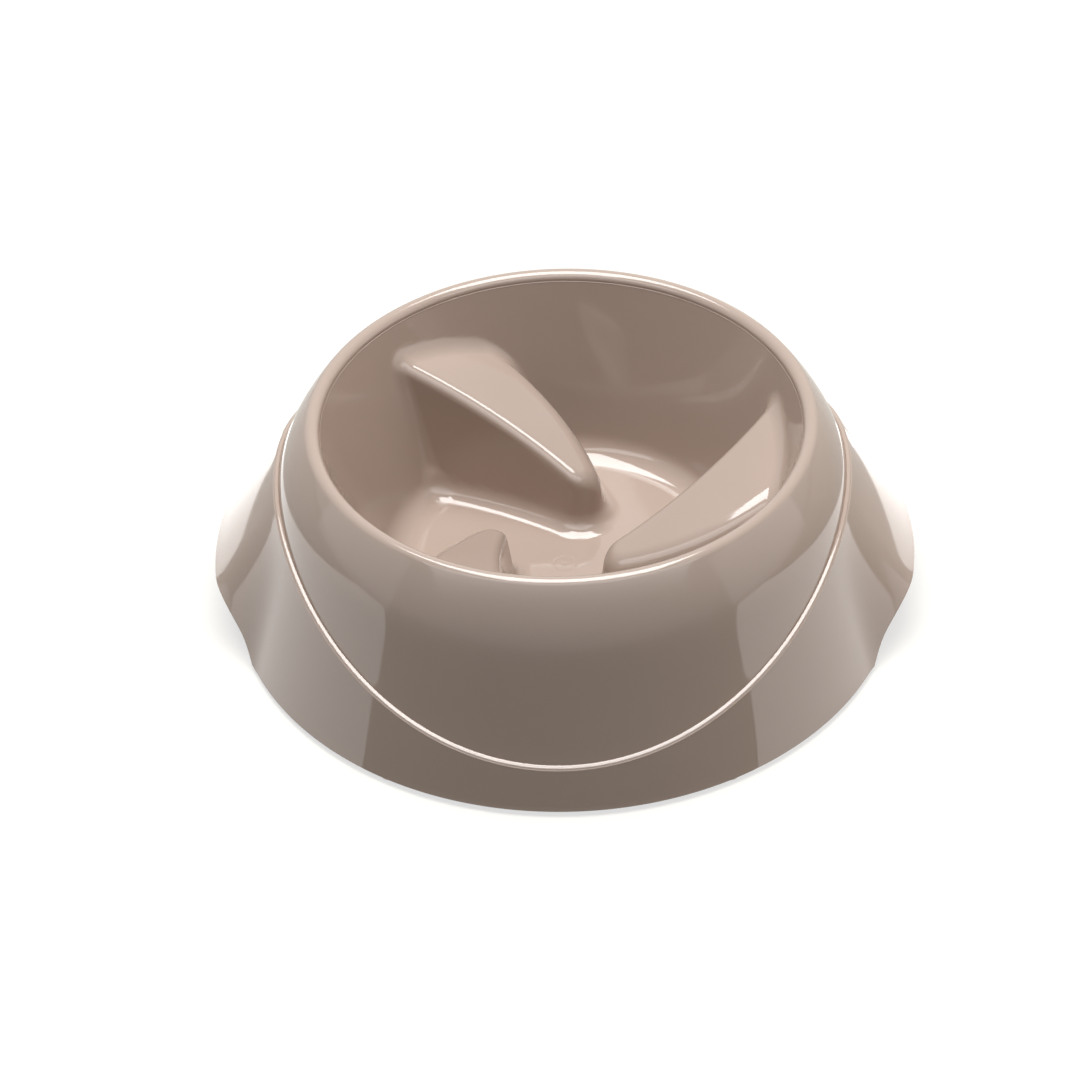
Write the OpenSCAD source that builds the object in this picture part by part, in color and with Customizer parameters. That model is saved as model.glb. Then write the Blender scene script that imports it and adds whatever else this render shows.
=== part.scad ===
// Slow feeder bowl: one moulded plastic bowl with three swirling fins, a raised
// finger grip on the left and right, and four rubber feet pushed into its base.
// Front is -Y, the grips are at -X and +X, and the feet stand on z = 0.

/* [Body] */
// Radius of the round base edge
base_r = 143.5; // [120:0.5:170]
// Height of the lip above the base edge
body_h = 89.9; // [80:0.5:105]
// Thickness of the moulded wall
wall = 2.5; // [1.8:0.1:3.2]
// Radius of the rounded shoulder below the lip
shoulder_r = 66; // [50:1:100]
// Depth of the shoulder below the lip
shoulder_h = 28; // [20:1:34]

/* [Lip and inner wall] */
// Radius of the middle of the lip
lip_r = 104.5; // [98:0.5:110]
// Radius of the rounded lip
lip_round = 3.5; // [3:0.1:4.5]
// Height of the lip's inner skirt
lip_drop = 5; // [4.5:0.1:7]
// How far the lip stands in from the wall below it
lip_overhang = 0.5; // [0.2:0.1:1]
// Lean of the inner wall, in degrees
inner_lean = 17.5; // [14:0.5:20]
// Height of the floor above the base edge
floor_z = 7.1; // [5:0.1:12]
// Fillet between the floor and the inner wall
floor_fillet = 9.6; // [6:0.2:14]

/* [Fins] */
// Number of fins
fin_count = 3; // [3]
// Height of a fin's top above the base edge, at its tip
fin_tip_z = 35; // [28:0.5:45]
// Rise of a fin's top towards the wall, in degrees
fin_rise = 23.5; // [16:0.5:26]
// Direction of that rise, in degrees
fin_rise_dir = 156; // [150:1:162]
// Distance of a fin's tip centre from the middle
fin_tip_dist = 34.6; // [30:0.2:40]
// Direction of a fin's tip centre, in degrees
fin_tip_dir = 79.2; // [70:0.2:90]
// Radius of the tip, seen from above
fin_tip_r = 8; // [6.5:0.5:9.5]
// Radius of the hollow long side, seen from above
fin_hollow_r = 213; // [180:1:260]
// Direction from the tip centre to the hollow side, in degrees
fin_hollow_dir = 234.8; // [230:0.2:240]
// Radius of the full side, seen from above
fin_full_r = 109; // [95:1:125]
// Direction from the tip centre to the full side, in degrees
fin_full_dir = 23.2; // [18:0.2:28]
// Draft of the fins' sides, in degrees
fin_draft = 8; // [5:0.5:10]
// Rounding of the edge between a fin's top and its hollow side
fin_hollow_round = 4.5; // [3:0.1:5.5]
// Rounding of the edge between a fin's top and its full side
fin_full_round = 7; // [4:0.1:8]
// Fillet between a fin and the floor
fin_fillet = 8; // [5:0.5:10]
// Fillet between a fin and the inner wall
fin_wall_fillet = 4.2; // [3:0.1:6]

/* [Side panels and grips] */
// Height of the ledge above the base edge, at the front and back
ledge_low = 18.5; // [14:0.5:26]
// Height of the ledge above the base edge, over the grips
ledge_high = 66.5; // [56:0.5:70]
// Width of the ledge, from the panel out to the skirt
ledge_w = 2.1; // [1:0.1:2.6]
// Rounding of the ledge's outer edge
ledge_round = 0.9; // [0.5:0.1:1.2]
// Fall of the ledge towards its outer edge
ledge_fall = 0.2; // [0.1:0.05:0.4]
// Lift of the skirt's edge at the grips
grip_lift = 21.6; // [16:0.2:26]
// Steep first part of that lift
grip_step = 5.2; // [3:0.2:8]
// Half the angle of the level part of a grip, in degrees
grip_in = 9.8; // [7:0.2:14]
// Half the angle of a whole grip, in degrees
grip_out = 24.2; // [20:0.2:28]
// How far a grip's edge flares out from the plain skirt
grip_flare = 14.4; // [8:0.2:18]
// Half the angle over which the edge flares, in degrees
grip_flare_out = 26; // [22:0.2:30]

/* [Feet] */
// Distance of the feet's middles in from the base edge
foot_inset = 6.5; // [5.5:0.5:9]
// Angle of the feet from the front or back, in degrees
foot_angle = 30; // [20:1:45]
// Diameter of a foot's head
foot_d = 10; // [8:0.5:11]
// Height of the base edge above the ground
foot_proud = 2.5; // [2:0.1:4]
// Rounding of a foot's lower edge
foot_round = 0.8; // [0.4:0.1:1]
// Diameter of a foot's stem
stem_d = 4.4; // [3.4:0.1:5]
// Length of a foot's stem
stem_h = 5; // [3.5:0.1:6]

/* [Hidden] */
bowl_colour = "#a3917f";
foot_colour = "#d9cbb8";
$fn = 72;

// A foot's boss inside the skirt, its socket and their clearances
boss_d = 8;
boss_h = 7;
boss_proud = 0.4;
socket_gap = 0.05;
socket_end_gap = 0.6;
over = 1;

// Places that follow from the driving sizes
shoulder_z = body_h - shoulder_h;
lip_z = body_h - lip_round;
lip_in_r = lip_r - lip_round - 2 * lip_overhang;
wall_top_z = body_h - lip_drop;
wall_top_r = lip_in_r + lip_overhang;
ledge_mid = (ledge_high + ledge_low) / 2;
ledge_swing = (ledge_high - ledge_low) / 2;
foot_dist = base_r - foot_inset;
// The panel runs tangent into the lip, which it meets at this angle on the lip's circle
lip_out_angle = 36;
lip_end_z = lip_z + lip_round * sin(lip_out_angle);
lip_end_r = lip_r + lip_round * cos(lip_out_angle);
panel_base_r = base_r - ledge_w;
function shoulder_in(z) = pow(max(0, z - shoulder_z), 2) / (2 * shoulder_r);
outer_lean = atan((panel_base_r - shoulder_in(lip_end_z) - lip_end_r) / lip_end_z);
fin_tip = fin_tip_dist * [cos(fin_tip_dir), sin(fin_tip_dir)];
fin_hollow_mid = fin_tip + (fin_hollow_r + fin_tip_r) * [cos(fin_hollow_dir), sin(fin_hollow_dir)];
fin_full_mid = fin_tip - (fin_full_r - fin_tip_r) * [cos(fin_full_dir), sin(fin_full_dir)];

// Counts of the mesh: spokes in one quarter and rings along the outer skirt
grip_spokes = 3;
ramp_spoke_shares = [0, 0.3, 0.55, 0.75, 0.88, 0.95];
side_spokes = 9;
spokes = 4 * (grip_spokes + len(ramp_spoke_shares) + side_spokes);
fin_spokes = spokes / fin_count;

// Shares that place the mesh lines, chosen by hand
floor_ring_shares = [0.35, 0.62];
tip_ring_shares = [-1.5, -1.15, -0.85, -0.65, -0.5, -0.05, 0.15, 0.35, 0.7, 1.2];
mid_ring_shares = [0.4, 0.7, 1];
fillet_ring_shares = [0.33, 0.66, 1];
wall_ring_shares = [0.18, 0.35, 0.5, 0.62, 0.72, 0.79, 0.86, 0.93, 1];
lip_angle_shares = [0.1, 0.3, 0.5, 0.7, 0.9];
panel_shares = [0, 0.08, 0.17, 0.27, 0.4, 0.7, 1];
ledge_shares = [0, 0.5];
skirt_shares = [0.25, 0.5, 0.75, 1];
grip_step_share = 0.35;
edge_line_shares = [0, 0.12, 0.27, 0.42, 0.58, 0.73, 0.88, 1];
side_line_shares = [0.2, 0.32, 0.55, 1];

// A share of the way from a to b
function part_way(a, b, s) = a + (b - a) * s;
// Zero up to a, one from b, and a smooth ramp between them
function ramp(a, b, x) = let (t = min(1, max(0, (x - a) / (b - a)))) t * t * (3 - 2 * t);
// Gap to two solids joined with a fillet of radius k
function join_gap(a, b, k) = max(k, min(a, b)) - norm([max(k - a, 0), max(k - b, 0)]);
// Gap to the common part of two solids, its edge rounded to radius k
function common_gap(a, b, k) = min(-k, max(a, b)) + norm([max(a + k, 0), max(b + k, 0)]);

// Inside of the bowl: gaps are positive in the air and negative in the plastic

function inner_wall_r(z) = wall_top_r - (wall_top_z - z) * tan(inner_lean);
function bare_gap(r, z) =
    join_gap(z - floor_z, (inner_wall_r(z) - r) * cos(inner_lean), floor_fillet);

// Direction of p from the tip centre, counted on from the hollow side
function tip_turn(p) = (atan2(p.y - fin_tip.y, p.x - fin_tip.x) - fin_hollow_dir + 720) % 360;
tip_sweep = (fin_full_dir - fin_hollow_dir + 360) % 360;
// Distance of p outside the fin's outline, seen from above
function fin_out(p) =
    tip_turn(p) < tip_sweep
        ? norm(p - fin_tip) - fin_tip_r
        : max(fin_hollow_r - norm(p - fin_hollow_mid), norm(p - fin_full_mid) - fin_full_r);
// Rounding of the fin's top edge nearest to p
function fin_round(p) =
    let (turn = tip_turn(p))
    turn < tip_sweep
        ? part_way(fin_hollow_round, fin_full_round, ramp(0, tip_sweep, turn))
        : norm(p - fin_full_mid) - fin_full_r > fin_hollow_r - norm(p - fin_hollow_mid)
            ? fin_full_round
            : fin_hollow_round;
function fin_top(p) =
    fin_tip_z + tan(fin_rise) * ((p - fin_tip) * [cos(fin_rise_dir), sin(fin_rise_dir)]);
function fin_gap(p, z) =
    let (top = fin_top(p))
    common_gap((z - top) * cos(fin_rise), (fin_out(p) - (top - z) * tan(fin_draft)) * cos(fin_draft),
        fin_round(p));
// The point p turned back into the first fin's frame
function fin_frame(p, k) = let (a = 360 * k / fin_count) [
    p.x * cos(a) + p.y * sin(a),
    p.y * cos(a) - p.x * sin(a)
];
// The fins' fillet tightens from the floor's to the wall's above the height of the floor's
function fillet_at(z) = part_way(fin_fillet, fin_wall_fillet,
    ramp(floor_z + fin_fillet, floor_z + 2 * fin_fillet, z));
function bowl_gap(p, z) = join_gap(
    bare_gap(norm(p), z),
    min([for (k = [0:fin_count - 1]) fin_gap(fin_frame(p, k), z)]),
    fillet_at(z));
// Height at which the gap is g, found by halving the span from low to high
function height_at(p, g, low, high, steps) =
    steps == 0 ? (low + high) / 2
    : let (mid = (low + high) / 2)
        bowl_gap(p, mid) > g ? height_at(p, g, low, mid, steps - 1) : height_at(p, g, mid, high, steps - 1);
halvings = 15;

// Spokes of the mesh: at the lip they are set by the grips, and on the fins they
// follow the fins' sides

quarter_angles = concat(
    [for (i = [0:grip_spokes - 1]) grip_in * i / grip_spokes],
    [for (s = ramp_spoke_shares) part_way(grip_in, grip_out, s)],
    [for (i = [0:side_spokes - 1]) part_way(grip_out, 90, i / side_spokes)]);
quarter_spokes = spokes / 4;
function lip_angle(i) =
    let (q = floor(i / quarter_spokes), j = i - q * quarter_spokes)
    q % 2 == 0 ? 90 * q + quarter_angles[j]
    : j == 0 ? 90 * q
    : 90 * (q + 1) - quarter_angles[quarter_spokes - j];

// Where a circle of radius r about the middle meets a circle of radius big about mid
function side_angle(r, mid, big) =
    let (d = norm(mid))
    atan2(mid.y, mid.x) - acos(max(-1, min(1, (r * r + d * d - big * big) / (2 * r * d))));
function full_angle(r) = side_angle(r, fin_full_mid, fin_full_r);
function hollow_angle(r) = side_angle(r, fin_hollow_mid, fin_hollow_r);
side_reach = 2 * fin_fillet;
edge_lines = len(edge_line_shares);
side_lines = len(side_line_shares);
gap_lines = fin_spokes - edge_lines - 2 * side_lines;
// Angle of mesh line j of the first fin, counted from its full side's outer line
function fin_line(j, r) =
    let (
        rr = max(r, fin_tip_dist + fin_tip_r / 2),
        a = (full_angle(rr) + 360) % 360,
        b = (hollow_angle(rr) + 360) % 360,
        reach = side_reach / rr * 180 / PI
    )
    j < side_lines ? a - reach * side_line_shares[side_lines - 1 - j]
    : j < side_lines + edge_lines ? part_way(a, b, edge_line_shares[j - side_lines])
    : j < 2 * side_lines + edge_lines ? b + reach * side_line_shares[j - side_lines - edge_lines]
    : part_way(b + reach, a - reach + 360 / fin_count, (j - 2 * side_lines - edge_lines + 1) / (gap_lines + 1));
first_line_angle = fin_line(0, wall_top_r);
first_spoke = round(quarter_spokes + (first_line_angle - 90) / ((90 - grip_out) / side_spokes));
// Angle of spoke i at radius r: 0 follows the fins and 1 follows the lip
function spoke_angle(i, r, to_lip) =
    let (
        k = floor(i / fin_spokes),
        on_fin = fin_line(i - k * fin_spokes, r) + 360 * k / fin_count,
        at_lip = lip_angle((i + first_spoke) % spokes) + (i + first_spoke >= spokes ? 360 : 0)
    )
    part_way(on_fin, at_lip, to_lip);

// How far the rings dip inwards around a fin's tip, at angle a in the first fin's frame
tip_half_angle = asin(fin_tip_r / fin_tip_dist);
tip_side_r = fin_tip_dist * cos(tip_half_angle);
function tip_dip(a) =
    let (s = sin(a - fin_tip_dir) / sin(tip_half_angle))
    abs(s) < 1 ? tip_side_r - fin_tip_dist * cos(a - fin_tip_dir) + fin_tip_r * sqrt(1 - s * s) : 0;
function dip_share(r) = min(1, r / fin_tip_dist) * (1 - ramp(fin_tip_dist, fin_tip_dist + 3 * fin_tip_r, r));

function inner_point(i, r, to_lip, g) =
    let (
        dip = dip_share(r) * tip_dip(fin_line(i % fin_spokes, 0)),
        a = spoke_angle(i, r - dip, to_lip),
        p = (r - dip) * [cos(a), sin(a)]
    )
    [p.x, p.y, height_at(p, g, -wall - over, wall_top_z + over, halvings)];

// Radii of the rings inside the bowl, from the middle out to the wall's top
fillet_r = inner_wall_r(floor_z) - floor_fillet / cos(inner_lean);
fillet_end_r = inner_wall_r(floor_z + floor_fillet);
inner_rings = concat(
    [for (s = floor_ring_shares) s * (fin_tip_dist - 2 * fin_tip_r)],
    [for (s = tip_ring_shares) tip_side_r + s * fin_tip_r],
    [for (s = mid_ring_shares) part_way(fin_tip_dist + fin_tip_r, fillet_r, s)],
    [for (s = fillet_ring_shares) part_way(fillet_r, fillet_end_r, s)],
    [for (s = wall_ring_shares) part_way(fillet_end_r, wall_top_r, s)]);
lip_blend_r = part_way(fillet_end_r, wall_top_r, 0.6);

// Outside of the bowl

// Angle of a direction from the nearer grip's middle
function from_grip(a) = acos(min(1, abs(cos(a))));
function ledge_z(a) = ledge_mid + ledge_swing * cos(2 * a);
function panel_r(z) = panel_base_r - z * tan(outer_lean) - shoulder_in(z);
function edge_z(a) =
    let (t = min(1, max(0, (grip_out - from_grip(a)) / (grip_out - grip_in))))
    (grip_lift - grip_step) * pow(sin(90 * t), 1.4) + grip_step * sin(90 * min(1, t / grip_step_share));
function edge_flare(a) = grip_flare * (1 - ramp(grip_in, grip_flare_out, from_grip(a)));
function skirt_point(a, s) =
    let (z = part_way(ledge_z(a) - ledge_fall - ledge_round, edge_z(a), s))
    [panel_r(z) + ledge_w + edge_flare(a) * pow(s, 1.15), z];
// Points of the ledge, from the share s of its rounded outer edge
function ledge_point(a, s) = [
    panel_r(ledge_z(a)) + ledge_w - ledge_round * (1 - sin(90 * s)),
    ledge_z(a) - ledge_fall - ledge_round * (1 - cos(90 * s))
];
function panel_point(a, s) = let (z = part_way(lip_end_z, ledge_z(a), s)) [panel_r(z), z];
function lip_point(s) =
    let (t = part_way(180, lip_out_angle, s))
    [lip_r + lip_round * cos(t), lip_z + lip_round * sin(t)];
// Outline of the outside at angle a, as [radius, height] from the lip's inner edge down
function outer_outline(a) = concat(
    [[lip_in_r, wall_top_z]],
    [for (s = lip_angle_shares) lip_point(s)],
    [for (s = panel_shares) panel_point(a, s)],
    [for (s = ledge_shares) ledge_point(a, s)],
    [for (s = concat([0], skirt_shares)) skirt_point(a, s)]);
function on_spoke(i, p) =
    let (a = spoke_angle(i, lip_r, 1))
    [p[0] * cos(a), p[0] * sin(a), p[1]];

// Underside: the outline moved in by the wall's thickness along its own normal
function moved_in(before, here, after, d) =
    let (t = after - before, n = [t.y, -t.x] / norm(t)) here + d * n;

// Two triangles from the four-sided face q, cut along its shorter diagonal
function split(points, q) =
    norm(points[q[0]] - points[q[2]]) < norm(points[q[1]] - points[q[3]])
        ? [[q[0], q[1], q[2]], [q[0], q[2], q[3]]]
        : [[q[0], q[1], q[3]], [q[1], q[2], q[3]]];

module bowl_skin() {
    all_spokes = [0:spokes - 1];
    outlines = [for (i = all_spokes) outer_outline(spoke_angle(i, lip_r, 1))];
    last = len(outlines[0]) - 1;
    skirt_picks = [last - 1, last - 2, last - 3];
    panel_picks = [last - 8, last - 10, last - 12, 4, 2];
    top_rings = concat(
        [for (r = inner_rings) [for (i = all_spokes) inner_point(i, r, ramp(lip_blend_r, wall_top_r, r), 0)]],
        [for (k = [0:last]) [for (i = all_spokes) on_spoke(i, outlines[i][k])]]);
    edge_ring = [for (i = all_spokes) on_spoke(i, outlines[i][last] - [wall / cos(outer_lean), 0])];
    under_rows = function (picks) [for (k = picks) [for (i = all_spokes)
        on_spoke(i, moved_in(outlines[i][k - 1], outlines[i][k], outlines[i][k + 1], wall))]];
    // Behind the ledge the panel keeps its thickness
    under_ledge = [for (i = all_spokes)
        on_spoke(i, panel_point(spoke_angle(i, lip_r, 1), 1) - [wall / cos(outer_lean), 0])];
    under_outer = concat(under_rows(skirt_picks), [under_ledge], under_rows(panel_picks));
    under_rings_r = [for (j = [len(inner_rings) - 1:-1:0]) if (j % 2 == 1) inner_rings[j] + wall];
    under_inner = [for (r = under_rings_r) [for (i = all_spokes)
        inner_point(i, r, ramp(lip_blend_r, wall_top_r, r - wall), -wall)]];
    rings = concat(top_rings, [edge_ring], under_outer, under_inner);
    count = len(rings);
    points = concat([for (ring = rings) each ring], [[0, 0, floor_z], [0, 0, floor_z - wall]]);
    at = function (k, i) k * spokes + (i + spokes) % spokes;
    faces = concat(
        [for (i = all_spokes) [count * spokes, at(0, i + 1), at(0, i)]],
        [for (k = [0:count - 2]) each [for (i = all_spokes)
            each split(points, [at(k, i), at(k, i + 1), at(k + 1, i + 1), at(k + 1, i)])]],
        [for (i = all_spokes) [count * spokes + 1, at(count - 1, i), at(count - 1, i + 1)]]);
    polyhedron(points, faces);
}

module at_foot(side, end) {
    rotate(end * (90 - side * foot_angle)) translate([foot_dist, 0, 0]) children();
}

module every_foot() {
    for (side = [-1, 1], end = [-1, 1]) at_foot(side, end) children();
}

module bowl() {
    color(bowl_colour) translate([0, 0, foot_proud]) difference() {
        union() {
            bowl_skin();
            every_foot() translate([0, 0, -boss_proud]) cylinder(d = boss_d, h = boss_h + boss_proud);
        }
        every_foot() translate([0, 0, -boss_proud - over])
            cylinder(d = stem_d + 2 * socket_gap, h = stem_h + socket_end_gap + over);
    }
}

module foot() {
    head_h = foot_proud - boss_proud;
    color(foot_colour) rotate_extrude() union() {
        translate([0, foot_round]) square([foot_d / 2, head_h - foot_round]);
        square([foot_d / 2 - foot_round, foot_round]);
        translate([foot_d / 2 - foot_round, foot_round]) intersection() {
            circle(foot_round);
            translate([0, -foot_round]) square(foot_round);
        }
        square([stem_d / 2, head_h + stem_h]);
    }
}

bowl();
at_foot(-1, -1) foot();  // foot_front_left
at_foot(1, -1) foot();  // foot_front_right
at_foot(-1, 1) foot();  // foot_back_left
at_foot(1, 1) foot();  // foot_back_right
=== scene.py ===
import math

import bpy
import numpy as np
from mathutils import Matrix, Vector


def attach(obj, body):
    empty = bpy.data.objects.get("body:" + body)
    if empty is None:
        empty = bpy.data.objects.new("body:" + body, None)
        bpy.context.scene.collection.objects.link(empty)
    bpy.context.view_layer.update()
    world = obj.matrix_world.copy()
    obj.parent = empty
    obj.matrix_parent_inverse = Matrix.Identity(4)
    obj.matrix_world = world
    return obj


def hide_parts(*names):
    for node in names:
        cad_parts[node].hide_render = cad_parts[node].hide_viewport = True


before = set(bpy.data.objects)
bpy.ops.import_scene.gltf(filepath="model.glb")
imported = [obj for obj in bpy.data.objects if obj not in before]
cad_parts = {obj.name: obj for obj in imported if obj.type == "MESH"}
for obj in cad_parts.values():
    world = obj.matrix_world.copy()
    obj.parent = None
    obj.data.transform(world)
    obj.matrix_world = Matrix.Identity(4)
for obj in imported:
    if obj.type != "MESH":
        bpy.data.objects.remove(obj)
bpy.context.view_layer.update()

MM = 0.001

# Sizes of the moulding, in millimetres above its base edge, as in the CAD
BASE_R = 143.5
BODY_H = 89.9
WALL = 2.5
SHOULDER_R = 66
SHOULDER_H = 28
LIP_R = 104.5
LIP_ROUND = 3.5
LIP_DROP = 5
LIP_OVERHANG = 0.5
INNER_LEAN = math.radians(17.5)
FLOOR_Z = 7.1
FLOOR_FILLET = 9.6
FIN_COUNT = 3
FIN_TIP_Z = 35
FIN_RISE = math.radians(23.5)
FIN_RISE_DIR = math.radians(156)
FIN_TIP_DIST = 34.6
FIN_TIP_DIR = math.radians(79.2)
FIN_TIP_R = 8
FIN_HOLLOW_R = 213
FIN_HOLLOW_DIR = math.radians(234.8)
FIN_FULL_R = 109
FIN_FULL_DIR = math.radians(23.2)
FIN_DRAFT = math.radians(8)
FIN_HOLLOW_ROUND = 4.5
FIN_FULL_ROUND = 7
FIN_FILLET = 8
FIN_WALL_FILLET = 4.2
LEDGE_LOW = 18.5
LEDGE_HIGH = 66.5
LEDGE_W = 2.1
LEDGE_ROUND = 0.9
LEDGE_FALL = 0.2
GRIP_LIFT = 21.6
GRIP_STEP = 5.2
GRIP_STEP_SHARE = 0.35
GRIP_LIFT_POWER = 1.4
GRIP_IN = math.radians(9.8)
GRIP_OUT = math.radians(24.2)
GRIP_FLARE = 14.4
GRIP_FLARE_POWER = 1.15
GRIP_FLARE_OUT = math.radians(26)
FOOT_PROUD = 2.5

# Fine relief: the small step under the lip's inner edge and the groove along the ledge's foot
STEP_H = 0.35
STEP_OVERHANG = 0.1
GROOVE_DEPTH = 0.25
GROOVE_BOTTOM, GROOVE_EDGE = 0.1, 0.35

# The mark that the sprue leaves at the middle of the floor: a dimple with a shallow ring round it
GATE_DEPTH = 0.12
GATE_DIMPLE_IN, GATE_DIMPLE_OUT = 0.7, 1.7
GATE_RING_DEPTH = 0.08
GATE_RING_R = 4.6
GATE_RING_W = 0.35

# The base edge is broken by a small rounding: points on it, in and down from its outer corner
BASE_ROUND = 0.25
BASE_EDGE = ((0.1, 0.17), (0.4, BASE_ROUND), (WALL - 0.2, BASE_ROUND), (WALL, 0.1))

LIP_Z = BODY_H - LIP_ROUND
WALL_TOP_Z = BODY_H - LIP_DROP
SHOULDER_Z = BODY_H - SHOULDER_H
WALL_TOP_R = LIP_R - LIP_ROUND - LIP_OVERHANG
STEP_Z = LIP_Z - STEP_H
STEP_R = WALL_TOP_R + (STEP_Z - WALL_TOP_Z) * math.tan(INNER_LEAN)
LIP_END = math.radians(36)
LIP_END_Z = LIP_Z + LIP_ROUND * math.sin(LIP_END)
LIP_END_R = LIP_R + LIP_ROUND * math.cos(LIP_END)
PANEL_BASE_R = BASE_R - LEDGE_W


def shoulder_in(z):
    """How far the shoulder has drawn the panel in at this height."""
    return np.maximum(0, z - SHOULDER_Z) ** 2 / (2 * SHOULDER_R)


OUTER_SLOPE = (PANEL_BASE_R - shoulder_in(LIP_END_Z) - LIP_END_R) / LIP_END_Z


def direction(angle):
    return np.array([math.cos(angle), math.sin(angle)])


# A fin seen from above: a round tip between a hollow side and a full side, both arcs
TIP = FIN_TIP_DIST * direction(FIN_TIP_DIR)
HOLLOW_MID = TIP + (FIN_HOLLOW_R + FIN_TIP_R) * direction(FIN_HOLLOW_DIR)
FULL_MID = TIP - (FIN_FULL_R - FIN_TIP_R) * direction(FIN_FULL_DIR)


# The inside of the bowl: a gap is positive in the air and negative in the plastic


def ramp(a, b, x):
    """0 up to a, 1 from b on, and a smooth rise between."""
    t = np.clip((x - a) / (b - a), 0, 1)
    return t * t * (3 - 2 * t)


def join_gap(a, b, k):
    """Gap to two solids joined with a fillet of radius k."""
    return np.maximum(k, np.minimum(a, b)) - np.hypot(np.maximum(k - a, 0), np.maximum(k - b, 0))


def common_gap(a, b, k):
    """Gap to the common part of two solids, its edge rounded to radius k."""
    return np.minimum(-k, np.maximum(a, b)) + np.hypot(np.maximum(a + k, 0), np.maximum(b + k, 0))


def inner_wall_r(z):
    """Radius of the inner wall, with no fins, at this height."""
    return WALL_TOP_R - (WALL_TOP_Z - z) * math.tan(INNER_LEAN)


def fin_gap(x, y, z):
    """Gap to the fin whose tip is at TIP: drafted sides under a sloping top."""
    tip_x, tip_y = x - TIP[0], y - TIP[1]
    to_hollow = np.hypot(x - HOLLOW_MID[0], y - HOLLOW_MID[1])
    to_full = np.hypot(x - FULL_MID[0], y - FULL_MID[1])
    turn = (np.arctan2(tip_y, tip_x) - FIN_HOLLOW_DIR) % math.tau
    sweep = (FIN_FULL_DIR - FIN_HOLLOW_DIR) % math.tau
    at_tip = turn < sweep
    out_hollow, out_full = FIN_HOLLOW_R - to_hollow, to_full - FIN_FULL_R
    out = np.where(at_tip, np.hypot(tip_x, tip_y) - FIN_TIP_R, np.maximum(out_hollow, out_full))
    share = np.where(at_tip, ramp(0, sweep, turn), out_full > out_hollow)
    rounding = FIN_HOLLOW_ROUND + (FIN_FULL_ROUND - FIN_HOLLOW_ROUND) * share
    rise = direction(FIN_RISE_DIR)
    top = FIN_TIP_Z + math.tan(FIN_RISE) * (tip_x * rise[0] + tip_y * rise[1])
    side = (out - (top - z) * math.tan(FIN_DRAFT)) * math.cos(FIN_DRAFT)
    return common_gap((z - top) * math.cos(FIN_RISE), side, rounding)


def bowl_gap(x, y, z):
    """Gap to the wall, the floor and all fins, joined with their fillets."""
    wall_side = (inner_wall_r(z) - np.hypot(x, y)) * math.cos(INNER_LEAN)
    bare = join_gap(z - FLOOR_Z, wall_side, FLOOR_FILLET)
    fins = []
    for k in range(FIN_COUNT):
        c, s = math.cos(math.tau * k / FIN_COUNT), math.sin(math.tau * k / FIN_COUNT)
        fins.append(fin_gap(x * c + y * s, y * c - x * s, z))
    to_wall = ramp(FLOOR_Z + FIN_FILLET, FLOOR_Z + 2 * FIN_FILLET, z)
    return join_gap(bare, np.minimum.reduce(fins), FIN_FILLET + (FIN_WALL_FILLET - FIN_FILLET) * to_wall)


ROOM_BELOW, ROOM_ABOVE = 1.0, 3.0
HALVINGS = 26
NORMAL_STEP = 0.02


def height_at(x, y, gap):
    """Height at which the gap is this, found by halving."""
    low = np.full(x.shape, -WALL - ROOM_BELOW)
    high = np.full(x.shape, WALL_TOP_Z + ROOM_ABOVE)
    for _ in range(HALVINGS):
        mid = (low + high) / 2
        above = bowl_gap(x, y, mid) > gap
        high = np.where(above, mid, high)
        low = np.where(above, low, mid)
    return (low + high) / 2


def gap_normals(x, y, z):
    """Outward normals of the surface on which the gap is constant."""
    e = NORMAL_STEP
    steps = ((e, 0, 0), (0, e, 0), (0, 0, e))
    n = np.stack([bowl_gap(x + i, y + j, z + k) - bowl_gap(x - i, y - j, z - k) for i, j, k in steps], -1)
    return n / np.linalg.norm(n, axis=-1, keepdims=True)


# Mesh lines of the inside: on the fins they follow the fins' sides, at the lip they are even

SPOKES = 360
FIN_LINES = SPOKES // FIN_COUNT
EDGE_LINES, SIDE_LINES = 38, 28
GAP_LINES = FIN_LINES - EDGE_LINES - 2 * SIDE_LINES
# How far beside the fins, and beyond their tips, the mesh still follows them
SIDE_REACH = 16.0
DIP_REACH = 3 * FIN_TIP_R
# Beside a fin the lines spread by a straight share and a power, and over it they crowd at its edges
SIDE_STRAIGHT, SIDE_POWER = 0.35, 2.4
TOP_POWER = 1.5
# Part of the way up the wall at which the lines begin to even out
EVEN_FROM = 0.55


def side_angle(r, mid, big):
    """Angle at which a ring of radius r crosses the arc of this middle and radius."""
    d = np.linalg.norm(mid)
    return math.atan2(mid[1], mid[0]) - np.arccos(np.clip((r * r + d * d - big * big) / (2 * r * d), -1, 1))


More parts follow.
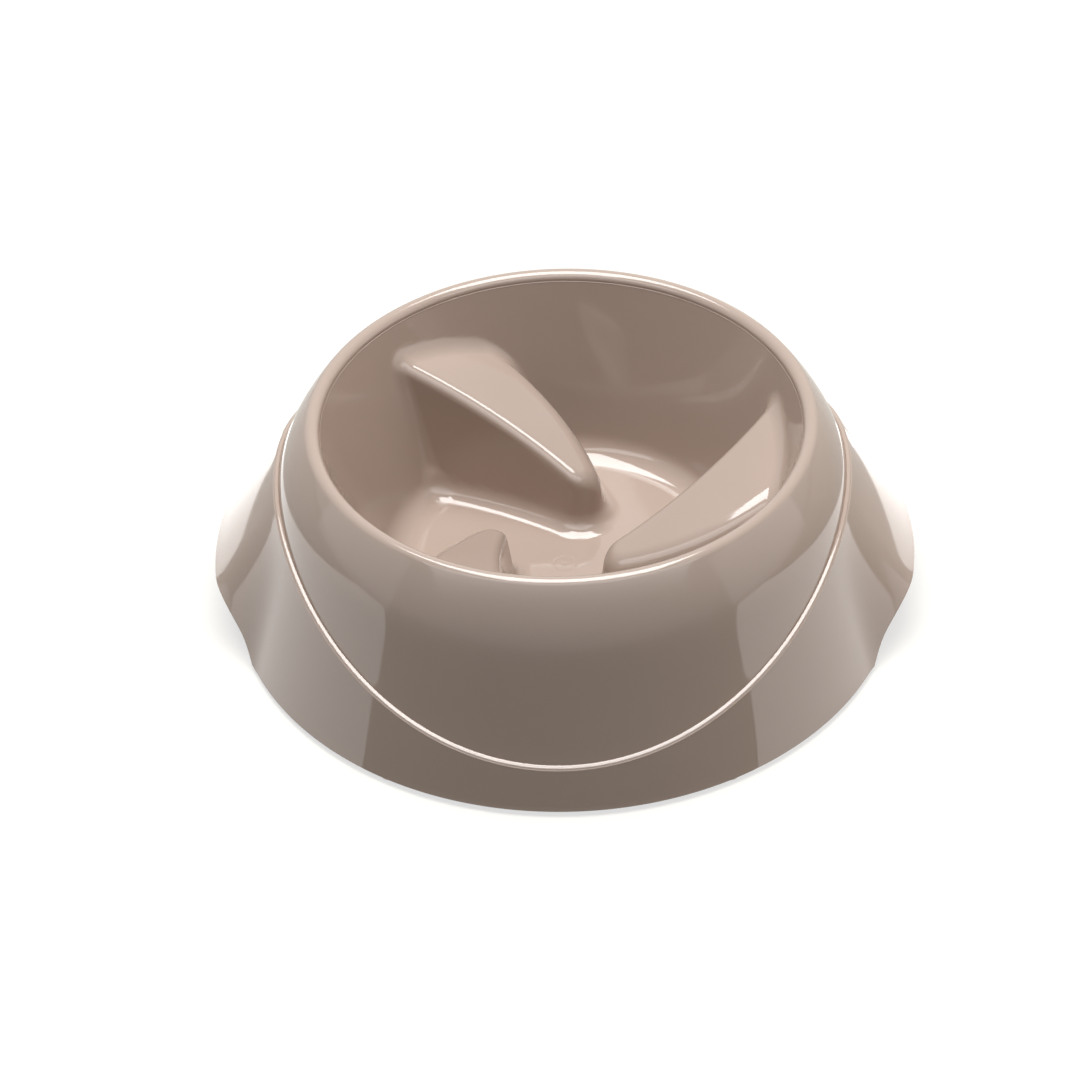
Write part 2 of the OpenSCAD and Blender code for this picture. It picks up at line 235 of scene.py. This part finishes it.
def fin_line_angles(r):
    """Angles of one fin's mesh lines at each radius in r."""
    held = np.maximum(r, FIN_TIP_DIST + FIN_TIP_R)
    a = side_angle(held, FULL_MID, FIN_FULL_R) % math.tau
    b = side_angle(held, HOLLOW_MID, FIN_HOLLOW_R) % math.tau
    reach = SIDE_REACH / held
    t = np.arange(1, SIDE_LINES + 1) / SIDE_LINES
    outward = SIDE_STRAIGHT * t + (1 - SIDE_STRAIGHT) * t ** SIDE_POWER
    u = np.arange(EDGE_LINES) / (EDGE_LINES - 1)
    across = np.where(u < 0.5, 0.5 * (2 * u) ** TOP_POWER, 1 - 0.5 * (2 - 2 * u) ** TOP_POWER)
    v = np.arange(1, GAP_LINES + 1) / (GAP_LINES + 1)
    a, b, reach = a[:, None], b[:, None], reach[:, None]
    return np.concatenate([
        a - reach * outward[::-1],
        a + (b - a) * across,
        b + reach * outward,
        b + reach + (a - 2 * reach + math.tau / FIN_COUNT - b) * v], axis=1)


def line_angles(r, to_lip):
    """Angles of all mesh lines at each radius: 0 follows the fins and 1 is even."""
    one = fin_line_angles(r)
    on_fins = np.concatenate([one + math.tau * k / FIN_COUNT for k in range(FIN_COUNT)], axis=1)
    start = np.mean(fin_line_angles(np.array([WALL_TOP_R])) - np.arange(FIN_LINES) * math.tau / SPOKES)
    even = start + np.arange(SPOKES) * math.tau / SPOKES
    return on_fins + (even - on_fins) * to_lip[:, None]


def tip_dip(angles):
    """How far the rings dip inwards around the fins' tips."""
    half = math.asin(FIN_TIP_R / FIN_TIP_DIST)
    s = np.sin(angles - FIN_TIP_DIR) / math.sin(half)
    bulge = FIN_TIP_DIST * (math.cos(half) - np.cos(angles - FIN_TIP_DIR))
    return np.where(np.abs(s) < 1, bulge + FIN_TIP_R * (1 - s * s), 0)


def inner_grid(radii, gap):
    """Rings of points on the inside, at these radii, where the gap is constant."""
    wall_foot_r = inner_wall_r(FLOOR_Z + FLOOR_FILLET)
    to_lip = ramp(wall_foot_r + EVEN_FROM * (WALL_TOP_R - wall_foot_r), WALL_TOP_R, radii)
    dips = np.tile(tip_dip(fin_line_angles(np.array([0.0]))[0]), FIN_COUNT)
    fade = np.minimum(1, radii / FIN_TIP_DIST) * (1 - ramp(FIN_TIP_DIST, FIN_TIP_DIST + DIP_REACH, radii))
    r = radii[:, None] - fade[:, None] * dips[None, :]
    angles = line_angles(radii, to_lip)
    x, y = r * np.cos(angles), r * np.sin(angles)
    z = height_at(x, y, gap)
    return np.stack([x, y, z], -1)


# The outside of the bowl, as an outline of radius and height at each angle


def ledge_z(angle):
    """Height of the ledge, which is low at the front and back and high over the grips."""
    return (LEDGE_HIGH + LEDGE_LOW) / 2 + (LEDGE_HIGH - LEDGE_LOW) / 2 * np.cos(2 * angle)


def panel_r(z):
    """Radius of the outer panel at this height."""
    return PANEL_BASE_R - z * OUTER_SLOPE - shoulder_in(z)


def from_grip(angle):
    """Angle to the middle of the nearer grip."""
    return np.arccos(np.minimum(1, np.abs(np.cos(angle))))


def edge_z(angle):
    """Height of the skirt's lower edge: 0, and raised at the grips with a steep first step."""
    t = np.clip((GRIP_OUT - from_grip(angle)) / (GRIP_OUT - GRIP_IN), 0, 1)
    step = np.sin(math.pi / 2 * np.minimum(1, t / GRIP_STEP_SHARE))
    return (GRIP_LIFT - GRIP_STEP) * np.sin(math.pi / 2 * t) ** GRIP_LIFT_POWER + GRIP_STEP * step


def edge_flare(angle):
    """How far the skirt's lower edge flares out, which it does only at the grips."""
    return GRIP_FLARE * (1 - ramp(GRIP_IN, GRIP_FLARE_OUT, from_grip(angle)))


LIP_ROWS, PANEL_ROWS, SKIRT_ROWS = 17, 14, 18
PANEL_POWER = 1.2
LEDGE_FLATS = (0.75, 1)
LEDGE_TURNS = np.radians([18, 36, 54, 72])


def lip_rows(one):
    """The lip from its inner edge over its top to where the panel runs into it."""
    rows = [((STEP_R - STEP_OVERHANG) * one, STEP_Z * one)]
    for t in np.linspace(math.pi, LIP_END, LIP_ROWS):
        rows.append(((LIP_R + LIP_ROUND * math.cos(t)) * one, (LIP_Z + LIP_ROUND * math.sin(t)) * one))
    return rows


def panel_rows(zl):
    """The panel from under the lip down to the ledge."""
    rows = []
    for t in np.linspace(0, 1, PANEL_ROWS + 1)[1:] ** PANEL_POWER:
        z = LIP_END_Z + (zl - LIP_END_Z) * t
        rows.append((panel_r(z), z))
    return rows


def ledge_rows(zl):
    """The ledge out from the panel's foot, with its groove and its rounded outer edge."""
    r = panel_r(zl)
    flat = LEDGE_W - LEDGE_ROUND
    rows = [(r + GROOVE_BOTTOM, zl - GROOVE_DEPTH), (r + GROOVE_EDGE, zl)]
    rows += [(r + flat * t, zl - LEDGE_FALL * t) for t in LEDGE_FLATS]
    for t in LEDGE_TURNS:
        drop = LEDGE_FALL + LEDGE_ROUND * (1 - math.cos(t))
        rows.append((r + flat + LEDGE_ROUND * math.sin(t), zl - drop))
    return rows


def skirt_rows(angle, zl):
    """The skirt from the ledge to its lower edge, flaring out at the grips."""
    ze, flare = edge_z(angle), edge_flare(angle)
    top = zl - LEDGE_FALL - LEDGE_ROUND
    rows = []
    for t in np.linspace(0, 1, SKIRT_ROWS):
        z = top + (ze - top) * t
        rows.append((panel_r(z) + LEDGE_W + flare * t ** GRIP_FLARE_POWER, z))
    return rows


def moved_in(outline, d):
    """The outline moved into the plastic along its own normals."""
    t = np.gradient(outline, axis=0)
    n = np.stack([t[..., 1], -t[..., 0]], -1)
    return outline + d * n / np.linalg.norm(n, axis=-1, keepdims=True)


def spun(outline, angle):
    """Points in space for an outline of radius and height."""
    r, z = outline[..., 0], outline[..., 1]
    return np.stack([r * np.cos(angle), r * np.sin(angle), z], -1)


# The mesh: rings from the middle of the floor over the lip, down to the base edge and back underneath

# Rings inside the bowl, close together round the gate mark, the fins' tips and the fillets
GATE_RADII = [0.5, 0.9, 1.1, 1.35, 1.6, 1.8, 2.1, 2.6, 3.4, 4, 4.3, 4.6, 4.9, 5.2, 5.8]
FLOOR_RADII = [7, 9.5, 12, 14.5, 17, 19, 20.5]
TIP_RADII = list(np.arange(21.7, 50, 0.5))
FILLET_RADII = list(np.arange(50.4, 72, 0.85))
WALL_RADII = list(np.linspace(72.4, STEP_R, 42))
INNER_RADII = np.array(GATE_RADII + FLOOR_RADII + TIP_RADII + FILLET_RADII + WALL_RADII)

# Rows of the lip that the hollow under it follows, and how many inner rings pass for one beneath
UNDER_LIP_ROWS = [12, 6]
BENEATH_EVERY = 4
CREASE = math.radians(28)


def gate_mark(r):
    """Height of the gate mark against the floor."""
    dimple = -GATE_DEPTH * (1 - ramp(GATE_DIMPLE_IN, GATE_DIMPLE_OUT, r))
    return dimple - GATE_RING_DEPTH * np.exp(-((r - GATE_RING_R) / GATE_RING_W) ** 2)


def inside_rings():
    """The food side: the floor with its gate mark, the fins and the wall up to the lip's step."""
    rings = inner_grid(INNER_RADII, 0.0)
    gate = rings[:len(GATE_RADII)]
    gate[..., 2] += gate_mark(np.hypot(gate[..., 0], gate[..., 1]))
    return rings


def outside_rings(spoke):
    """The lip, panel, ledge and skirt, the base edge, and the hollow side behind them."""
    zl = ledge_z(spoke)
    rows = [lip_rows(np.ones_like(spoke)), panel_rows(zl), ledge_rows(zl), skirt_rows(spoke, zl)]
    lip, panel, ledge, skirt = [np.array(part).transpose(0, 2, 1) for part in rows]
    outline = np.concatenate([lip, panel, ledge, skirt])
    outline[-1, :, 1] += BASE_ROUND
    rim = outline[-1] - np.array(BASE_EDGE)[:, None]
    moved = moved_in(outline, WALL)
    behind_ledge = panel[-1:] - np.array([WALL * math.hypot(1, OUTER_SLOPE), 0])
    last, panel_end = len(outline) - 1, len(lip) + len(panel) - 1
    # Behind the skirt and the panel every second row is enough
    under = np.concatenate([
        moved[last - 2:last - len(skirt) + 3:-2],
        behind_ledge,
        moved[panel_end - 2:len(lip):-2],
        moved[UNDER_LIP_ROWS]])
    return np.concatenate([spun(part, spoke) for part in (outline, rim, under)])


def ring_faces(count):
    """Quads between the rings, and a fan of triangles at the first ring and at the last."""
    k, i = np.meshgrid(np.arange(count - 1), np.arange(SPOKES), indexing="ij")
    j = (i + 1) % SPOKES
    quads = np.stack([(k + 1) * SPOKES + i, (k + 1) * SPOKES + j, k * SPOKES + j, k * SPOKES + i], -1)
    i = np.arange(SPOKES)
    j = (i + 1) % SPOKES
    end, middle = (count - 1) * SPOKES, count * SPOKES
    first = np.stack([i, j, np.full(SPOKES, middle)], -1)
    final = np.stack([end + j, end + i, np.full(SPOKES, middle + 1)], -1)
    return quads.reshape(-1, 4).tolist() + first.tolist() + final.tolist()


def bowl_mesh():
    """The whole moulding as one closed mesh."""
    inside = inside_rings()
    outside = outside_rings(line_angles(np.array([WALL_TOP_R]), np.array([1.0]))[0])
    beneath = inner_grid(INNER_RADII[::-1][1::BENEATH_EVERY] + WALL, -WALL)
    rings = np.concatenate([inside, outside, beneath])
    count = len(rings)
    middles = [[0, 0, FLOOR_Z + gate_mark(0)], [0, 0, FLOOR_Z - WALL]]
    points = np.concatenate([rings.reshape(-1, 3), middles])
    # Normals of the inside come from its shape, the rest from the mesh, with creases kept
    normals = np.zeros_like(points)
    food_side = slice(len(GATE_RADII) * SPOKES, (len(inside) - 1) * SPOKES)
    hollow_side = slice((count - len(beneath) + 1) * SPOKES, count * SPOKES)
    normals[food_side] = gap_normals(*points[food_side].T)
    normals[hollow_side] = -gap_normals(*points[hollow_side].T)
    mesh = bpy.data.meshes.new("bowl_moulding")
    mesh.from_pydata(((points + np.array([0, 0, FOOT_PROUD])) * MM).tolist(), [], ring_faces(count))
    mesh.shade_smooth()
    mesh.set_sharp_from_angle(angle=CREASE)
    corners = np.empty(len(mesh.loops), dtype=np.int32)
    mesh.loops.foreach_get("vertex_index", corners)
    mesh.normals_split_custom_set(normals[corners].tolist())
    return mesh


# Materials

# Plastic: two near shades of the pigment, the sizes of its streaks, of the haze in its polish and of
# the slow waves that a moulded wall gets as it cools, and its roughness without and with the haze
TAUPE, LIGHT_TAUPE = "#927b6b", "#967f6f"
STREAK = 35 * MM
HAZE = 6 * MM
POLISHED, HAZY = 0.05, 0.08
WAVE, WAVE_DEPTH = 28 * MM, 0.12 * MM
PLASTIC_IOR = 1.49
# Rubber: two near shades, and the grain that a matt mould leaves
CREAM, LIGHT_CREAM = "#d6c8b4", "#e0d4c2"
GRAIN, GRAIN_DEPTH = 0.4 * MM, 0.05 * MM
RUBBER_ROUGHNESS = 0.6
RUBBER_IOR = 1.5


def linear(hex_colour):
    """Linear colour from an sRGB hex value."""
    out = []
    for i in (1, 3, 5):
        c = int(hex_colour[i:i + 2], 16) / 255
        out.append(c / 12.92 if c <= 0.04045 else ((c + 0.055) / 1.055) ** 2.4)
    return (*out, 1.0)


def emptied(owner):
    """The node tree of a material, lamp or world, with no nodes in it."""
    owner.use_nodes = True
    owner.node_tree.nodes.clear()
    return owner.node_tree


def add(tree, kind, settings=None, links=None):
    """A node with its settings and links: a number is an input's place, a word its name or a setting."""
    node = tree.nodes.new(kind)
    for name, value in (settings or {}).items():
        if isinstance(name, int) or name in node.inputs:
            node.inputs[name].default_value = value
        else:
            setattr(node, name, value)
    for name, source in (links or {}).items():
        tree.links.new(source, node.inputs[name])
    return node


def glossy_moulded_polypropylene():
    """Taupe polypropylene moulded in a polished tool: a clear, slightly wavy gloss over an even colour."""
    material = bpy.data.materials.new("glossy_moulded_polypropylene")
    tree = emptied(material)
    place = add(tree, "ShaderNodeTexCoord").outputs["Object"]
    # So faint that the streaks only keep the colour from being flat
    streaks = add(tree, "ShaderNodeTexNoise",
                  {"Scale": 1 / STREAK, "Detail": 3.0, "Roughness": 0.5}, {"Vector": place})
    tint = add(tree, "ShaderNodeMix",
               {"data_type": "RGBA", 6: linear(TAUPE), 7: linear(LIGHT_TAUPE)}, {0: streaks.outputs["Fac"]})
    # The haze goes from its own size down to a few tenths of a millimetre
    haze = add(tree, "ShaderNodeTexNoise",
               {"Scale": 1 / HAZE, "Detail": 4.0, "Roughness": 0.6}, {"Vector": place})
    gloss = add(tree, "ShaderNodeMapRange",
                {"From Min": 0.3, "From Max": 0.7, "To Min": POLISHED, "To Max": HAZY},
                {"Value": haze.outputs["Fac"]})
    waves = add(tree, "ShaderNodeTexNoise", {"Scale": 1 / WAVE, "Detail": 1.0}, {"Vector": place})
    bump = add(tree, "ShaderNodeBump",
               {"Strength": 0.25, "Distance": WAVE_DEPTH}, {"Height": waves.outputs["Fac"]})
    shader = add(tree, "ShaderNodeBsdfPrincipled", {"IOR": PLASTIC_IOR},
                 {"Base Color": tint.outputs[2], "Roughness": gloss.outputs["Result"],
                  "Normal": bump.outputs["Normal"]})
    add(tree, "ShaderNodeOutputMaterial", {}, {"Surface": shader.outputs["BSDF"]})
    return material


def soft_cream_rubber():
    """Cream thermoplastic rubber from a matt mould: soft sheen, fine grain."""
    material = bpy.data.materials.new("soft_cream_rubber")
    tree = emptied(material)
    place = add(tree, "ShaderNodeTexCoord").outputs["Object"]
    grain = add(tree, "ShaderNodeTexNoise", {"Scale": 1 / GRAIN, "Detail": 3.0}, {"Vector": place})
    tint = add(tree, "ShaderNodeMix",
               {"data_type": "RGBA", 6: linear(CREAM), 7: linear(LIGHT_CREAM)}, {0: grain.outputs["Fac"]})
    bump = add(tree, "ShaderNodeBump",
               {"Strength": 0.4, "Distance": GRAIN_DEPTH}, {"Height": grain.outputs["Fac"]})
    shader = add(tree, "ShaderNodeBsdfPrincipled", {"Roughness": RUBBER_ROUGHNESS, "IOR": RUBBER_IOR},
                 {"Base Color": tint.outputs[2], "Normal": bump.outputs["Normal"]})
    add(tree, "ShaderNodeOutputMaterial", {}, {"Surface": shader.outputs["BSDF"]})
    return material


# Pieces

bowl = bpy.data.objects.new("moulded_bowl", bowl_mesh())
bpy.context.scene.collection.objects.link(bowl)
bowl.data.materials.append(glossy_moulded_polypropylene())
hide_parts("bowl")
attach(bowl, "root")

rubber = soft_cream_rubber()
for name in ("foot_front_left", "foot_front_right", "foot_back_left", "foot_back_right"):
    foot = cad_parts[name]
    foot.data.materials.clear()
    foot.data.materials.append(rubber)


# Floor and backdrop, in metres

FLOOR_HALF = 6
# The paper's own colour under its glow: it takes the shadow and throws a little warm light on the bowl
PAPER = "#81776a"
# The glow rises to plain white with distance, and loses a part of itself in the bowl's gloss
NEAR, FAR = 0.4, 1.2
NEAR_GLOW, FAR_GLOW = 0.7, 1.0
LOST_IN_GLOSS = 0.35
# What the backdrop gives where the lamps don't reach
FILL = 0.02


def seen_directly(tree):
    """1 for rays from the camera, for reflections and through glass, 0 for the light that falls on things."""
    path = add(tree, "ShaderNodeLightPath").outputs
    seen = add(tree, "ShaderNodeMath", {"operation": "MAXIMUM"},
               {0: path["Is Camera Ray"], 1: path["Is Glossy Ray"]})
    through = add(tree, "ShaderNodeMath", {"operation": "MAXIMUM"},
                  {0: seen.outputs["Value"], 1: path["Is Transmission Ray"]})
    return through.outputs["Value"]


def matt_studio_paper():
    """Matt studio paper: it keeps the bowl's shadow and is plain white farther away."""
    material = bpy.data.materials.new("matt_studio_paper")
    tree = emptied(material)
    place = add(tree, "ShaderNodeTexCoord").outputs["Object"]
    away = add(tree, "ShaderNodeVectorMath", {"operation": "LENGTH"}, {0: place})
    rising = add(tree, "ShaderNodeMapRange",
                 {"From Min": NEAR, "From Max": FAR, "To Min": NEAR_GLOW, "To Max": FAR_GLOW},
                 {"Value": away.outputs["Value"]})
    glow = add(tree, "ShaderNodeMath", {"operation": "MULTIPLY"},
               {0: seen_directly(tree), 1: rising.outputs["Result"]})
    in_gloss = add(tree, "ShaderNodeLightPath").outputs["Is Glossy Ray"]
    kept = add(tree, "ShaderNodeMath",
               {"operation": "MULTIPLY_ADD", 1: -LOST_IN_GLOSS, 2: 1.0}, {0: in_gloss})
    strength = add(tree, "ShaderNodeMath", {"operation": "MULTIPLY"},
                   {0: glow.outputs["Value"], 1: kept.outputs["Value"]})
    white = add(tree, "ShaderNodeEmission", {"Color": (1, 1, 1, 1)}, {"Strength": strength.outputs["Value"]})
    paper = add(tree, "ShaderNodeBsdfDiffuse", {"Color": linear(PAPER)})
    both = add(tree, "ShaderNodeAddShader", {}, {0: paper.outputs["BSDF"], 1: white.outputs["Emission"]})
    add(tree, "ShaderNodeOutputMaterial", {}, {"Surface": both.outputs["Shader"]})
    return material


def white_backdrop():
    """World: white where it is seen, and a faint fill for what the lamps don't reach."""
    world = bpy.data.worlds.new("white_backdrop")
    tree = emptied(world)
    strength = add(tree, "ShaderNodeMath", {"operation": "MAXIMUM", 1: FILL}, {0: seen_directly(tree)})
    backdrop = add(tree, "ShaderNodeBackground",
                   {"Color": (1, 1, 1, 1)}, {"Strength": strength.outputs["Value"]})
    add(tree, "ShaderNodeOutputWorld", {}, {"Surface": backdrop.outputs["Background"]})
    return world


floor = bpy.data.meshes.new("studio_floor")
corners = [(-1, -1), (1, -1), (1, 1), (-1, 1)]
floor.from_pydata([(FLOOR_HALF * x, FLOOR_HALF * y, 0) for x, y in corners], [], [(0, 1, 2, 3)])
floor.materials.append(matt_studio_paper())
floor_object = bpy.data.objects.new("studio_floor", floor)
bpy.context.scene.collection.objects.link(floor_object)
bpy.context.scene.world = white_backdrop()


# Lamps, in metres and watts: some light the plastic's colour, the others show only in its gloss

WHITE = (1, 1, 1)
COOL = (0.87, 1.0, 1.13)
LAMP_AIM = Vector((0, 0, 0.04))

# A table card's near corner, under the bowl, and the direction of its long front edge
CARD_CORNER = (0.05, -0.106)
CARD_EDGE = (0.917, -0.4)
CARD_SIZE = (1.2, 0.26)
CARD_LIFT = 0.002


def softbox(name, place, size, power, lights, tint=WHITE):
    """A soft area lamp that lights the plastic's colour, or is mirrored in its gloss."""
    light = bpy.data.lights.new(name, "AREA")
    light.shape = "RECTANGLE"
    light.size, light.size_y = size
    light.energy = power
    light.color = tint
    lamp = bpy.data.objects.new(name, light)
    lamp.location = place
    lamp.rotation_euler = (LAMP_AIM - Vector(place)).to_track_quat("-Z", "Y").to_euler()
    lamp.visible_camera = False
    lamp.visible_glossy = lights == "gloss"
    lamp.visible_diffuse = lights == "colour"
    bpy.context.scene.collection.objects.link(lamp)
    return lamp


def sloping_diffuser(name, place, size, power):
    """A gloss lamp whose light fades away toward its lower edge."""
    tree = emptied(softbox(name, place, size, power, "gloss").data)
    on_lamp = add(tree, "ShaderNodeNewGeometry").outputs["Parametric"]
    up_lamp = add(tree, "ShaderNodeSeparateXYZ", {}, {0: on_lamp})
    glow = add(tree, "ShaderNodeEmission", {}, {"Strength": up_lamp.outputs["Y"]})
    add(tree, "ShaderNodeOutputLight", {}, {"Surface": glow.outputs["Emission"]})


def table_card(name, side, power):
    """A white card flat on the table beside the bowl, seen only as the sheen low on its side."""
    x, y = CARD_EDGE
    along = Vector((side * x, y, 0)).normalized()
    back = Vector((-side * y, x, 0)).normalized()
    corner = Vector((side * CARD_CORNER[0], CARD_CORNER[1], CARD_LIFT))
    middle = corner + (along * CARD_SIZE[0] + back * CARD_SIZE[1]) / 2
    card = softbox(name, middle, CARD_SIZE, power, "gloss")
    card.rotation_euler = (math.pi, 0, math.atan2(along.y, along.x))


softbox("overhead_softbox", place=(-0.02, 0.12, 1.33), size=(1.0, 1.05), power=45, lights="colour", tint=COOL)
softbox("left_screen", place=(-1.6, 0.2, 0.4), size=(1.6, 0.8), power=4, lights="colour")
softbox("right_screen", place=(1.6, 0.2, 0.4), size=(1.6, 0.8), power=12, lights="colour")
softbox("overhead_diffuser", place=(-0.03, 0.12, 1.33), size=(0.92, 1.05), power=40, lights="gloss")
softbox("left_wall", place=(-1.3, -0.2, 0.3), size=(1.0, 0.6), power=1.0, lights="gloss")
softbox("right_wall", place=(1.3, -0.2, 0.3), size=(1.0, 0.6), power=1.4, lights="gloss")
sloping_diffuser("front_diffuser", place=(0, -1.1, 1.0), size=(3.0, 1.0), power=36)
table_card("left_card", side=-1, power=1.5)
table_card("right_card", side=1, power=1.7)


# The photograph's view: the camera looks down at the front from a little to the right

ELEVATION = math.radians(40.41)
AZIMUTH = math.radians(-2.747)
ROLL = math.radians(-1.938)
DISTANCE = 1200 * MM
FOCAL_PX = 2766
IMAGE_PX = 1080
SENSOR_MM = 36
AIM = Vector((-10.4, -0.5, 21 + FOOT_PROUD)) * MM

heading = Vector((math.sin(AZIMUTH), math.cos(AZIMUTH), 0))
ahead = heading * math.cos(ELEVATION) - Vector((0, 0, math.sin(ELEVATION)))
level = Vector((math.cos(AZIMUTH), -math.sin(AZIMUTH), 0))
above = level.cross(ahead)
right = level * math.cos(ROLL) + above * math.sin(ROLL)
up = above * math.cos(ROLL) - level * math.sin(ROLL)
pose = Matrix((right, up, -ahead)).transposed().to_4x4()
pose.translation = AIM - DISTANCE * ahead
camera = bpy.data.cameras.new("photo_camera")
camera.sensor_width = SENSOR_MM
camera.lens = FOCAL_PX / IMAGE_PX * SENSOR_MM
camera_object = bpy.data.objects.new("photo_camera", camera)
camera_object.matrix_world = pose
bpy.context.scene.collection.objects.link(camera_object)
bpy.context.scene.camera = camera_object
bpy.context.scene.view_settings.view_transform = "Standard"
